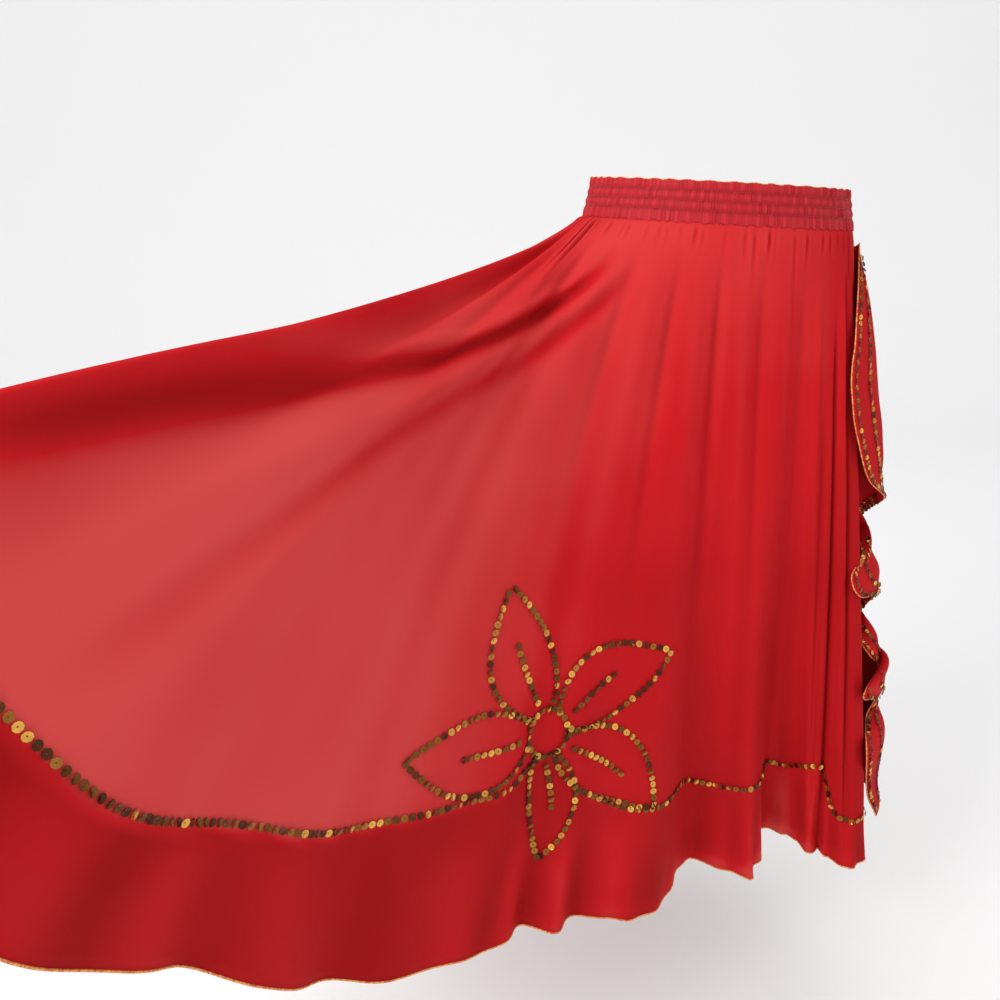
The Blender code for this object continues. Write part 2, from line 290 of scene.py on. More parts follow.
def smooth_table(
    table: tuple[tuple[float, ...], ...], at: Array, period: float | None = None
) -> Array:
    """Reads a table along a smooth curve through its rows.

    Args:
        table: rows of numbers, each after its place, with the places rising.
        at: the places to read.
        period: the length after which the table repeats, if it does.

    Returns:
        One row of numbers for each place asked for.
    """
    rows = np.array(table)
    places, values = rows[:, 0], rows[:, 1:]
    if period:
        places = np.concatenate([places[-2:] - period, places, places[:3] + period])
        values = np.concatenate([values[-2:], values, values[:3]])
    steps = np.diff(places)
    rises = np.diff(values, axis=0) / steps[:, None]
    slopes = np.empty_like(values)
    slopes[0], slopes[-1] = rises[0], rises[-1]
    share = (steps[1:] / (steps[:-1] + steps[1:]))[:, None]
    slopes[1:-1] = rises[:-1] * share + rises[1:] * (1 - share)
    row = np.clip(np.searchsorted(places, at, side="right") - 1, 0, len(steps) - 1)
    step = steps[row][:, None]
    f = ((at - places[row]) / steps[row])[:, None]
    return (
        values[row] * (1 + 2 * f) * (1 - f) ** 2
        + values[row + 1] * f**2 * (3 - 2 * f)
        + slopes[row] * step * f * (1 - f) ** 2
        - slopes[row + 1] * step * f**2 * (1 - f)
    )


def ease(x: Array) -> Array:
    """Rises from 0 to 1 without a corner."""
    x = np.clip(x, 0.0, 1.0)
    return x * x * (3 - 2 * x)


def turned_from(turn: Array, place: float) -> Array:
    """Degrees from a place round the skirt, the shorter way."""
    return (turn - place + CIRCLE / 2) % CIRCLE - CIRCLE / 2


def line_place(turn: Array) -> Array:
    """The sequin line's place from band to hem at each turn."""
    return smooth_table(LINE, turn % CIRCLE)[:, 0]


def chance(seed: float, count: int) -> Array:
    """Uneven numbers from 0 to 1 that are the same at each run.

    Args:
        seed: any number.
        count: how many numbers.

    Returns:
        The numbers.
    """
    return np.modf(np.abs(np.sin(np.arange(count) * 12.9898 + seed * 78.233) * 43758.5453))[0]


def unit(way: Array) -> Array:
    """The same directions with a length of one."""
    return way / np.maximum(np.linalg.norm(way, axis=-1, keepdims=True), 1e-12)


@dataclass(frozen=True)
class SkirtForm:
    """The form of the cloth, from the band to the hem, as a function of turn and down.

    Turn is in degrees from the right side seam towards the front, and down runs from 0 at the
    band to 1 at the hem.
    """

    band_height: float = 0.039
    band_top: tuple[float, float] = (0.1390, 0.1000)
    band_foot: tuple[float, float] = (0.1460, 0.1050)
    band_tilt: float = 0.050
    seam_gap: float = 0.0003
    gathers: int = 66
    gather_depth: float = 0.0058
    gather_start: float = 0.020
    gather_length: tuple[float, float] = (0.045, 0.16)
    gather_halves: tuple[float, float] = (2.2, 0.9)
    gather_reach: float = 5.0
    crease_rise: float = 0.14
    ripple: float = 0.0018
    ripple_from: float = 0.93
    hem_wave: float = 0.0065
    wave_from: float = 0.84
    turn_step: float = 0.12
    down_step: float = 0.002

    def ring(self, turn: Array, share: Array) -> Array:
        """Points on the outside of the band, share 0 at its top and 1 at its foot."""
        angle = np.radians(turn)
        wide = self.band_top[0] + (self.band_foot[0] - self.band_top[0]) * share
        deep = self.band_top[1] + (self.band_foot[1] - self.band_top[1]) * share
        x, y = wide * np.cos(angle), -deep * np.sin(angle)
        return np.stack([x, y, self.band_height * (0.5 - share) - self.band_tilt * x], axis=-1)

    def ring_out(self, points: Array) -> Array:
        """The level direction out of the band at points on it."""
        wide, deep = self.band_foot
        return unit(points * [1 / wide**2, 1 / deep**2, 0])

    def base(self, turn: Array, down: Array) -> Array:
        """The cloth with no folds in it."""
        read = smooth_table(STATIONS, turn % CIRCLE, CIRCLE)
        hem = read[:, :3]
        top = self.ring(turn, np.ones_like(turn)) - [0, 0, self.seam_gap]
        way = hem - top
        first = top + way * read[:, [3, 3, 4]]
        second = top + way * read[:, [5, 5, 6]]
        v = down[:, None]
        return (
            top * (1 - v) ** 3
            + 3 * first * v * (1 - v) ** 2
            + 3 * second * v**2 * (1 - v)
            + hem * v**3
        )

    def base_ways(self, turn: Array, down: Array) -> tuple[Array, Array]:
        """The level direction along the base cloth and the direction out of it."""
        side = self.base(turn + 0.5, down) - self.base(turn - 0.5, down)
        rise = self.base(turn, down + 0.01) - self.base(turn, down - 0.01)
        return unit(side), unit(np.cross(side, rise))

    def at(self, turn: Array, down: Array) -> Array:
        """The outside of the cloth with its folds, gathers and creases.

        Args:
            turn: the turn of each point, in degrees.
            down: the place of each point from band to hem.

        Returns:
            The points, one row each.
        """
        turn, down = np.asarray(turn, float), np.asarray(down, float)
        points = self.base(turn, down)
        side, out = self.base_ways(turn, down)
        push = np.zeros_like(turn)
        slide = np.zeros_like(turn)
        for crest, half, reach, start, lean in FOLDS:
            away = turned_from(turn, crest)
            crown = 0.5 + 0.5 * np.cos(np.pi * away / (2 * half))
            swell = np.where(np.abs(away) < 2 * half, crown, 0)
            grow = ease((down - start) / (1.0 - start) * 0.5) * 2.0
            push += reach * swell * grow
            slide += lean * swell * grow
        for crest, half, reach, start, stop in CREASES:
            swell = np.exp(-((turned_from(turn, crest) / half) ** 2))
            rise = ease((down - start) / self.crease_rise)
            fade = ease((down - stop * 0.5) / (stop * 0.5))
            push += reach * swell * rise * (1 - fade)
        push += self.gathered(turn, down)
        for crest, high, trough, low in SWEPT_FOLDS:
            push += high * self.swept(turn, down, crest) - low * self.swept(turn, down, trough)
        push += self.hem_wave * self.waves(turn) * ease((down - self.wave_from) / 0.16)
        edge = ease((down - self.ripple_from) / 0.07)
        angle = np.radians(turn)
        push += self.ripple * edge * np.sin(angle * 61 + 2.2 * np.sin(angle * 7))
        return points + push[:, None] * out + slide[:, None] * side

    def gathered(self, turn: Array, down: Array) -> Array:
        """How far the gathers under the band push the cloth out, in metres."""
        push = np.zeros_like(turn)
        count = self.gathers
        shortest, longer = self.gather_length
        outer, inner = self.gather_halves
        places = (np.arange(count) + 1.1 * chance(2.0, count)) * CIRCLE / count
        lengths = shortest + longer * chance(5.0, count) ** 3
        depths = self.gather_depth * (0.25 + 1.1 * chance(9.0, count) ** 1.5)
        for place, length, depth in zip(places, lengths, depths):
            away = turned_from(turn, place)
            swell = 0.45 * np.exp(-((away / outer) ** 2)) - np.exp(-((away / inner) ** 2))
            swell = np.where(np.abs(away) < self.gather_reach, depth * swell, 0)
            push += swell * ease(down / self.gather_start) * (1 - ease(down / length))
        return push

    def swept(self, turn: Array, down: Array, aside: float = 0.0) -> Array:
        """How near a point lies to the long fold under the held edge, from 0 to 1."""
        away = turn - smooth_table(SWEEP, down)[:, 0] - aside
        near = np.exp(-((away / (1.3 + 1.6 * (1 - down) ** 2)) ** 2))
        return near * ease((down - 0.04) / 0.16) * (1 - ease((down - 0.72) / 0.20))

    def waves(self, turn: Array) -> Array:
        """The uneven waves of the hem, from -1 to 1."""
        angle = np.radians(turn)
        return np.sin(38 * angle + 1.8 * np.sin(9 * angle)) * (0.7 + 0.3 * np.sin(7 * angle))

    def facing(self, turn: Array, down: Array) -> Array:
        """The direction out of the folded cloth at each point."""
        side = self.at(turn + self.turn_step, down) - self.at(turn - self.turn_step, down)
        lower = np.minimum(down + self.down_step, 1.0)
        rise = self.at(turn, lower) - self.at(turn, down - self.down_step)
        return unit(np.cross(side, rise))


FORM = SkirtForm()


def sheer_light_and_shade_at(turn: Array, down: Array) -> Array:
    """How pale the cloth's colour is, from 0 to 1: darker where it lies doubled, with painted
    shade in its folds and gathers, and pale where it is sheer, with light painted as if shining
    through.

    Args:
        turn: the turn of each point, in degrees.
        down: the place of each point from band to hem.

    Returns:
        The share of each point.
    """
    top, middle, foot = smooth_table(SHEER_LIGHT_AND_SHADE, turn % CIRCLE, CIRCLE).T
    upper = top + (middle - top) * ease((down - 0.15) / 0.40)
    below = ease((down - line_place(turn)) / 0.012)
    # Painted light near the hem: the last strip is paler, as if lit through; the colour also rises
    # and falls with the hem's waves, painted light and shade.
    lower = foot + ease((down - 0.965) / 0.035) * np.clip(foot - 0.15, 0, 1) * 1.4
    lower += (0.06 + 0.24 * FORM.waves(turn)) * ease((down - 0.82) / 0.12)
    angle = np.radians(turn)
    # Uneven streaks near the band, and painted light and shade from the gathers: paler on their
    # crests, darker in their valleys.
    streak = np.sin(41 * angle + 3 * np.sin(5 * angle)) * np.sin(9 * angle + 2 * down)
    upper += 0.05 * streak * ease(down / 0.3) + 50.0 * FORM.gathered(turn, down)
    # Painted shade in the troughs of the long swept folds under the held edge.
    upper -= 0.62 * FORM.swept(turn, down) + 0.22 * FORM.swept(turn, down, -10.0)
    return np.clip(upper, 0, 1) * (1 - below) + np.clip(lower, 0, 1) * below


INPUTS = {
    "colour": "Base Color",
    "metallic": "Metallic",
    "roughness": "Roughness",
    "cover": "Alpha",
    "specular": "Specular IOR Level",
    "normal": "Normal",
}


@dataclass(frozen=True)
class Value:
    """A socket that can be added to, taken from and multiplied as a number can."""

    sheet: ShaderSheet
    socket: NodeSocket

    def _with(self, operation: str, first: object, second: object) -> Value:
        """Adds a Math node that takes two values."""
        node = self.sheet.add("ShaderNodeMath", {"operation": operation}, {0: first, 1: second})
        return Value(self.sheet, node.outputs[0])

    def __add__(self, other: object) -> Value:
        """Sum of two values."""
        return self._with("ADD", self, other)

    def __sub__(self, other: object) -> Value:
        """Difference of two values."""
        return self._with("SUBTRACT", self, other)

    def __mul__(self, other: object) -> Value:
        """Product of two values."""
        return self._with("MULTIPLY", self, other)


class ShaderSheet:
    """One material's node sheet."""

    def __init__(self, name: str) -> None:
        """Starts a material with its Principled shader."""
        self.material = bpy.data.materials.new(name)
        self.material.use_nodes = True
        self.tree = self.material.node_tree
        self.shader = self.tree.nodes["Principled BSDF"]

    def put(self, socket: NodeSocket, value: object) -> None:
        """Sets a socket to a value, or links it to one."""
        if isinstance(value, Value):
            self.tree.links.new(value.socket, socket)
        elif isinstance(value, NodeSocket):
            self.tree.links.new(value, socket)
        elif socket.type == "RGBA":
            socket.default_value = (*value, 1.0)
        else:
            socket.default_value = value

    def add(self, kind: str, settings: dict[str, object], inputs: dict[object, object]) -> Node:
        """Adds a node.

        Args:
            kind: the node's type.
            settings: its settings, which are set first; stops are a ramp's places and colours.
            inputs: values or links for its sockets.

        Returns:
            The node.
        """
        node = self.tree.nodes.new(kind)
        for key, value in settings.items():
            if key == "stops":
                ramp = node.color_ramp
                while len(ramp.elements) < len(value):
                    ramp.elements.new(0.5)
                for stop, (place, colour) in zip(ramp.elements, value):
                    stop.position, stop.color = place, (*colour, 1.0)
            else:
                setattr(node, key, value)
        for key, value in inputs.items():
            self.put(node.inputs[key], value)
        return node

    def attribute(self, name: str) -> Value:
        """Reads the piece's own numbers of this name."""
        node = self.add("ShaderNodeAttribute", {"attribute_name": name}, {})
        return Value(self, node.outputs["Fac"])

    def dress(self, **values: object) -> None:
        """Sets the shader's inputs by the names in INPUTS."""
        for name, value in values.items():
            self.put(self.shader.inputs[INPUTS[name]], value)

    def noise(self, scale: float, detail: float, stretch: Triple = (1, 1, 1)) -> Value:
        """Soft noise in the piece's own place, stretched if asked."""
        where = self.add("ShaderNodeTexCoord", {}, {}).outputs["Object"]
        spread = self.add("ShaderNodeMapping", {}, {"Vector": where, "Scale": stretch}).outputs[0]
        settings = {"Vector": spread, "Scale": scale, "Detail": detail}
        return Value(self, self.add("ShaderNodeTexNoise", {}, settings).outputs[0])

    def blend(self, share: object, first: object, second: object) -> NodeSocket:
        """Mixes two colours by a share."""
        return self.add(
            "ShaderNodeMix", {"data_type": "RGBA"}, {0: share, 6: first, 7: second}
        ).outputs[2]

    def relief(self, height: Value, distance: float, strength: float) -> NodeSocket:
        """A normal with this height pressed into it."""
        settings = {"Height": height, "Distance": distance, "Strength": strength}
        return self.add("ShaderNodeBump", {}, settings).outputs[0]


@dataclass(frozen=True)
class ChiffonFinish:
    """Sheer red cloth with a fine grain."""

    name: str = "red_chiffon"
    colour: Triple = (0.545, 0.0125, 0.0165)
    shade: Triple = (0.42, 0.0062, 0.0090)
    # Colour for doubled cloth and for the shade painted into folds and gathers.
    dense_and_shade: Triple = (0.285, 0.0045, 0.0055)
    # Painted light: a paler pink for the places where light through the sheer cloth is painted.
    pale: Triple = (0.60, 0.062, 0.058)
    roughness: float = 0.75
    cover: float = 0.97
    specular: float = 0.05
    grain: float = 0.00015

    def made(self) -> Material:
        """Builds the material; its colour is darker where the cloth lies doubled, with painted
        shade in its folds and gathers and painted light where it is sheer.
        """
        sheet = ShaderSheet(self.name)
        soft = sheet.noise(scale=5.0, detail=2.0)
        fine = sheet.noise(scale=900.0, detail=1.0)
        thin = sheet.attribute("thin") + (soft - 0.5) * 0.35
        even = sheet.blend(soft * 0.8 + fine * 0.2, self.shade, self.colour)
        # Painted shade: low shares of the attribute mix in the dark colour.
        deep = sheet.blend(thin * 2.0, self.dense_and_shade, even)
        crinkle = sheet.noise(scale=140.0, detail=3.0, stretch=(1.0, 1.0, 0.35))
        sheet.dress(
            # Painted light: high shares mix in the pale colour.
            colour=sheet.blend(thin * 2.0 - 1.0, deep, self.pale),
            normal=sheet.relief(crinkle + fine * 0.4, distance=self.grain, strength=0.6),
            roughness=self.roughness,
            cover=self.cover,
            specular=self.specular,
        )
        return sheet.material


@dataclass(frozen=True)
class BandFinish:
    """Shirred red cloth, a little pinker and brighter than the panels."""

    name: str = "shirred_red"
    colour: Triple = (0.51, 0.024, 0.034)
    # Painted shade: colour of the deep places between the puckers.
    shade: Triple = (0.19, 0.003, 0.006)
    roughness: float = 0.50
    specular: float = 0.08
    grain: float = 0.0002

    def made(self) -> Material:
        """Builds the material, with painted shade in the deep places of the puckers."""
        sheet = ShaderSheet(self.name)
        pucker = sheet.attribute("pucker")
        fine = sheet.noise(scale=700.0, detail=2.0)
        sheet.dress(
            # Painted shade: low pucker shares take the dark colour.
            colour=sheet.blend(pucker * 0.85 + fine * 0.15, self.shade, self.colour),
            normal=sheet.relief(fine, distance=self.grain, strength=0.5),
            roughness=self.roughness,
            specular=self.specular,
        )
        return sheet.material


@dataclass(frozen=True)
class SequinFinish:
    """Bronze sequins that glint gold."""

    name: str = "bronze_sequins"
    dark: Triple = (0.055, 0.016, 0.005)
    bronze: Triple = (0.27, 0.105, 0.014)
    gold: Triple = (0.72, 0.40, 0.075)
    metallic: float = 0.85
    roughness: float = 0.26

    def made(self) -> Material:
        """Builds the material, which takes each sequin's colour from its tone attribute."""
        sheet = ShaderSheet(self.name)
        ramp = sheet.add(
            "ShaderNodeValToRGB",
            {"stops": ((0.0, self.dark), (0.55, self.bronze), (1.0, self.gold))},
            {0: sheet.attribute("tone")},
        )
        sheet.dress(colour=ramp.outputs[0], metallic=self.metallic, roughness=self.roughness)
        return sheet.material


@dataclass(frozen=True)
class ThreadFinish:
    """Sewing thread of one colour, with a twist."""

    name: str
    colour: Triple
    other: Triple
    metallic: float = 0.0
    roughness: float = 0.5

    def made(self) -> Material:
        """Builds the material."""
        sheet = ShaderSheet(self.name)
        twist = sheet.noise(scale=420.0, detail=2.0)
        sheet.dress(
            colour=sheet.blend(twist * 3.0 - 1.0, self.other, self.colour),
            metallic=self.metallic,
            roughness=self.roughness,
            normal=sheet.relief(twist, distance=0.0003, strength=0.6),
        )
        return sheet.material


@dataclass(frozen=True)
class StudioFinish:
    """Plain pale floor."""

    name: str = "pale_floor"
    colour: Triple = (0.86, 0.86, 0.86)
    roughness: float = 0.9

    def made(self) -> Material:
        """Builds the material."""
        sheet = ShaderSheet(self.name)
        sheet.dress(colour=self.colour, roughness=self.roughness)
        return sheet.material


def placed(name: str, mesh: BMesh, finish: Material) -> Object:
    """Puts a finished bmesh into the scene as a piece at the origin.

    Args:
        name: the piece's name.
        mesh: its bmesh, which is freed.
        finish: its material.

    Returns:
        The piece.
    """
    data = bpy.data.meshes.new(name)
    mesh.to_mesh(data)
    mesh.free()
    data.polygons.foreach_set("use_smooth", [True] * len(data.polygons))
    data.materials.append(finish)
    piece = bpy.data.objects.new(name, data)
    bpy.context.scene.collection.objects.link(piece)
    return piece


def grid_mesh(across: int, down: int) -> tuple[BMesh, Array, Array]:
    """A flat grid to be shaped, with the share across and down of each of its vertices."""
    mesh = bmesh.new()
    bmesh.ops.create_grid(mesh, x_segments=across, y_segments=down, size=1.0)
    flat = np.array([v.co[:2] for v in mesh.verts])
    return mesh, (flat[:, 0] + 1) / 2, (flat[:, 1] + 1) / 2


def shape_to(mesh: BMesh, points: Array) -> None:
    """Moves a mesh's vertices to these points."""
    for vertex, point in zip(mesh.verts, points):
        vertex.co = point


def face_out(mesh: BMesh, turned: bool) -> None:
    """Turns every face over if the grid's own order faces inwards."""
    if turned:
        bmesh.ops.reverse_faces(mesh, faces=mesh.faces)


def thicken(piece: Object, wall: float) -> None:
    """Gives a sheet its wall, inwards from its outside."""
    wall_of = piece.modifiers.new("wall", "SOLIDIFY")
    wall_of.thickness, wall_of.offset = wall, -1.0
    wall_of.use_even_offset = False


def set_attribute(piece: Object, name: str, values: Array) -> None:
    """Keeps one number for each vertex of a piece."""
    kept = piece.data.attributes.new(name, "FLOAT", "POINT")
    kept.data.foreach_set("value", np.asarray(values, np.float32))


def tube(
    name: str, path: Array, radius: float, finish: Material, sides: int = 6, looped: bool = False
) -> Object:
    """A thin tube along a path.

    Args:
        name: the piece's name.
        path: points along its middle.
        radius: its radius.
        finish: its material.
        sides: how many sides it has.
        looped: whether its ends meet.

    Returns:
        The piece.
    """
    mesh, along, around = grid_mesh(len(path) - 1, sides)
    step = np.rint(along * (len(path) - 1)).astype(int)
    way = unit(np.gradient(path, axis=0))
    if looped:
        way[0] = way[-1] = unit(path[1] - path[-2])
    steep = np.abs(way[:, 2:]) > 0.9
    level = unit(np.cross(way, np.where(steep, [[1.0, 0, 0]], [[0, 0, 1.0]])))
    up = np.cross(level, way)
    angle = around * 2 * np.pi
    points = path[step] + radius * (
        np.cos(angle)[:, None] * level[step] + np.sin(angle)[:, None] * up[step]
    )
    shape_to(mesh, points)
    bmesh.ops.remove_doubles(mesh, verts=mesh.verts, dist=WELD)
    open_edges = [e for e in mesh.edges if e.is_boundary]
    if open_edges:
        bmesh.ops.holes_fill(mesh, edges=open_edges, sides=0)
    bmesh.ops.recalc_face_normals(mesh, faces=mesh.faces)
    return placed(name, mesh, finish)


def spaced(path: Array, pitch: float) -> Array:
    """Shares of a path's length at an even pitch, as places between its points."""
    lengths = np.concatenate([[0], np.cumsum(np.linalg.norm(np.diff(path, axis=0), axis=1))])
    marks = np.arange(pitch / 2, lengths[-1], pitch)
    return np.interp(marks, lengths, np.arange(len(path)))


def read_between(values: Array, places: Array) -> Array:
    """Values at places between rows."""
    rows = np.arange(len(values))
    return np.stack([np.interp(places, rows, column) for column in values.T], axis=1)


@dataclass
class Sequins:
    """Cupped round sequins with a hole, sewn down one by one."""

    name: str
    radius: float = 0.0037
    hole: float = 0.0007
    cup: float = 0.0009
    wall: float = 0.0002
    segments: int = 9
    lift: float = 0.0009
    tilt: float = 0.32
    spin: float = 6.28
    places: list[Array] = field(default_factory=list)
    facings: list[Array] = field(default_factory=list)

    def sew(self, points: Array, facings: Array) -> None:
        """Adds sequins at these points, each facing its own way."""
        self.places.append(points)
        self.facings.append(facings)

    def one(self) -> Mesh:
        """A single sequin as a mesh."""
        mesh = bmesh.new()
        rim = bmesh.ops.create_circle(mesh, segments=self.segments, radius=self.radius)["verts"]
        bmesh.ops.translate(mesh, verts=rim, vec=(0, 0, self.cup))
        grown = bmesh.ops.extrude_edge_only(mesh, edges=mesh.edges[:])["geom"]
        inner = [v for v in grown if isinstance(v, BMVert)]
        share = self.hole / self.radius
        bmesh.ops.scale(mesh, verts=inner, vec=(share, share, 0.0))
        bmesh.ops.recalc_face_normals(mesh, faces=mesh.faces)
        bmesh.ops.solidify(mesh, geom=mesh.faces[:], thickness=self.wall)
        data = bpy.data.meshes.new(self.name + "_one")
        mesh.to_mesh(data)
        mesh.free()
        return data

    def made(self, finish: Material) -> Object:
        """Builds all the sequins as one piece.

        Args:
            finish: the sequins' material.

        Returns:
            The piece, with a tone for each sequin.
        """
        single = self.one()
        points, facings = np.concatenate(self.places), np.concatenate(self.facings)
        count, each = len(points), len(single.vertices)
        lean, roll, tone = chance(3.0, count), chance(7.0, count), chance(11.0, count)
        mesh = bmesh.new()
        for i, (point, facing) in enumerate(zip(points, facings)):
            mesh.from_mesh(single)
            mesh.verts.ensure_lookup_table()
            turned = Vector(facing).to_track_quat("Z", "Y").to_matrix().to_4x4()
            tips = self.tilt * (lean[i] - 0.5) * 2, self.tilt * (roll[i] - 0.5) * 2
            tipped = Euler((*tips, self.spin * tone[i])).to_matrix().to_4x4()
            spot = Matrix.Translation(Vector(point) + Vector(facing) * self.lift)
            bmesh.ops.transform(mesh, matrix=spot @ turned @ tipped, verts=mesh.verts[-each:])
        bpy.data.meshes.remove(single)
        piece = placed(self.name, mesh, finish)
        piece.data.polygons.foreach_set("use_smooth", [False] * len(piece.data.polygons))
        set_attribute(piece, "tone", np.repeat(tone**1.3, each))
        log.info("%s: %d sequins", self.name, count)
        return piece


@dataclass
class Waistband:
    """Shirred elastic band with its frilled top, rows of stitching and edge thread."""

    across: int = 900
    down: int = 24
    puckers: int = 124
    pucker_depth: float = 0.0010
    puff_depth: float = 0.0007
    rows: tuple[float, ...] = (0.24, 0.48, 0.72)
    frill: float = 0.0005
    scallop: float = 0.0007
    wall: float = 0.0008
    edge_radius: float = 0.00055
    middle_size: tuple[float, float] = (0.1425, 0.1025)
    stitch_pitch: float = 0.0038
    stitch_size: Triple = (0.0026, 0.0005, 0.0004)

    def relief_at(self, turn: Array, share: Array) -> Array:
        """How far the shirred cloth stands out, in metres."""
        angle = np.radians(turn)
        row_of = np.searchsorted(self.rows, share)
        shift = 2.6 * np.sin(angle * 4 + row_of * 2.1) + 1.7 * np.sin(angle * 13 + row_of * 4.7)
        wave = 0.8 * np.cos(self.puckers * angle + shift)
        finer = round(self.puckers * 1.63) * angle
        wave += 0.7 * np.cos(finer + 2.7 * row_of + 2 * np.sin(angle * 5))
        wave = 1.0 - 1.5 * np.abs(np.sin(wave * 1.1)) ** 0.7
        wave *= 0.75 + 0.35 * np.sin(angle * 17 + row_of * 1.3)
        nearest = np.min([np.abs(share - row) for row in self.rows], axis=0)
        puff = ease(nearest / 0.11)
        return self.puff_depth * (puff - 0.55) + self.pucker_depth * wave * (0.45 + 0.55 * puff)

    def frilled(self, turn: Array) -> Array:
        """The frill's wave along the top edge, from -1 to 1."""
        angle = np.radians(turn)
        return np.sin(angle * 43 + np.sin(angle * 9))

    def made(self, finish: Material, thread: Material, edge: Material) -> list[Object]:
        """Builds the band and what is sewn on it.

        Args:
            finish: the band's cloth.
            thread: the shirring thread.
            edge: the overlocked top edge's thread.

        Returns:
            The band, its stitches and its edge.
        """
        mesh, along, share = grid_mesh(self.across, self.down)
        turn = along * CIRCLE
        angle = np.radians(turn)
        points = FORM.ring(turn, share)
        points = points + FORM.ring_out(points) * self.relief_at(turn, share)[:, None]
        frill = self.frill * (1 - ease(share / 0.16)) * self.frilled(turn)
        wave = np.sin(angle * 61 + 2 * np.sin(angle * 7)) - 1.6
        points[:, 2] += frill + self.scallop * ease((share - 0.86) / 0.14) * wave
        shape_to(mesh, points)
        bmesh.ops.remove_doubles(mesh, verts=mesh.verts, dist=WELD)
        face_out(mesh, self.inward(mesh))
        kept = np.array([v.co[:] for v in mesh.verts])
        piece = placed("waistband_cloth", mesh, finish)
        wide, deep = self.middle_size
        turn = np.degrees(np.arctan2(-kept[:, 1] / deep, kept[:, 0] / wide)) % CIRCLE
        level = 0.5 - (kept[:, 2] + FORM.band_tilt * kept[:, 0]) / FORM.band_height
        raised = self.relief_at(turn, np.clip(level, 0, 1))
        # Painted shade: the band's colour darkens where its cloth sinks between the puckers.
        set_attribute(piece, "pucker", np.clip(raised / 0.0022 + 0.55, 0, 1))
        thicken(piece, self.wall)
        return [piece, self.stitches(thread), self.top_edge(edge)]

    def inward(self, mesh: BMesh) -> bool:
        """Whether the first face looks towards the middle."""
        mesh.faces.ensure_lookup_table()
        mesh.normal_update()
        face = mesh.faces[len(mesh.faces) // 3]
        return face.normal.xy.dot(face.calc_center_median().xy) < 0

    def stitches(self, finish: Material) -> Object:
        """Rows of short stitches that hold the elastic."""
        mesh = bmesh.new()
        for row in self.rows:
            turns = np.arange(0.0, CIRCLE, math.degrees(self.stitch_pitch / 0.124))
            share = np.full_like(turns, row)
            ends = [FORM.ring(turns + shift, share) for shift in (-0.75, 0.75)]
            rise = self.relief_at(turns, share)
            out = FORM.ring_out(ends[0])
            middle = (ends[0] + ends[1]) / 2 + out * (rise[:, None] + 0.0003)
            way = unit(ends[1] - ends[0])
            for point, along, outward in zip(middle, way, out):
                bit = bmesh.ops.create_cube(mesh, size=1.0)["verts"]
                bmesh.ops.scale(mesh, vec=self.stitch_size, verts=bit)
                third = Vector(np.cross(outward, along))
                turned = Matrix((Vector(along), third, Vector(outward))).transposed().to_4x4()
                spot = Matrix.Translation(Vector(point))
                bmesh.ops.transform(mesh, matrix=spot @ turned, verts=bit)
        return placed("band_stitches", mesh, finish)

    def top_edge(self, finish: Material) -> Object:
        """Fine thread over the band's top edge."""
        turn = np.linspace(0, CIRCLE, 721)
        top = np.zeros_like(turn)
        path = FORM.ring(turn, top)
        rise = self.relief_at(turn, top)[:, None] - self.wall / 2
        path = path + FORM.ring_out(path) * rise
        path[:, 2] += self.frill * self.frilled(turn)
        path[-1] = path[0]
        return tube("band_edge_thread", path, self.edge_radius, finish, sides=5, looped=True)


@dataclass
class Panel:
    """One panel of chiffon between the side seams, with its rolled hem."""

    side: Side
    first: float
    last: float
    across: int
    down: int
    wall: float = 0.0006
    hem_radius: float = 0.0011
    seam_short: float = 0.05
    crowding: float = 1.15

    def turns(self, share: Array) -> Array:
        """Turns across the panel, held a little short of its side seams."""
        wide = self.last - self.first - 2 * self.seam_short
        return self.first + self.seam_short + wide * share

    def made(self, finish: Material, edge: Material) -> list[Object]:
        """Builds the panel and the gold thread of its hem."""
        mesh, along, place = grid_mesh(self.across, self.down)
        down = place**self.crowding
        shape_to(mesh, FORM.at(self.turns(along), down))
        mesh.normal_update()
        mesh.faces.ensure_lookup_table()
        face = mesh.faces[(self.down // 2) * self.across + self.across // 2]
        middle = np.array([self.turns(np.array([0.5]))[0]])
        facing = FORM.facing(middle, np.array([0.45]))[0]
        face_out(mesh, face.normal.dot(Vector(facing)) < 0)
        piece = placed(f"{self.side.value}_cloth", mesh, finish)
        # Painted light and shade in the chiffon's colour: pale where the sheer cloth is lit
        # through, dark in its folds and gathers.
        set_attribute(piece, "thin", sheer_light_and_shade_at(self.turns(along), down))
        thicken(piece, self.wall)
        turn = self.turns(np.linspace(0, 1, int(self.across * 1.6)))
        hem = np.ones_like(turn)
        path = FORM.at(turn, hem) - FORM.facing(turn, hem) * self.wall / 2
        return [piece, tube(f"{self.side.value}_hem_thread", path, self.hem_radius, edge)]


@dataclass
class SequinLine:
    """The line of sequins that runs round the skirt above its hem."""

    pitch: float = 0.0082
    gaps: tuple[tuple[float, float], ...] = ((113.5, 122.0), (276.0, 294.0))

    def sew(self, sequins: Sequins, first: float, last: float) -> None:
        """Sews the line between two turns, left out where a flower crosses it."""
        turn = np.linspace(first, last, 4000)
        path = FORM.at(turn, line_place(turn))
        at = spaced(path, self.pitch)
        turns = np.interp(at, np.arange(len(turn)), turn)
        for low, high in self.gaps:
            turns = turns[(turns < low) | (turns > high)]
        downs = line_place(turns)
        sequins.sew(FORM.at(turns, downs), FORM.facing(turns, downs))


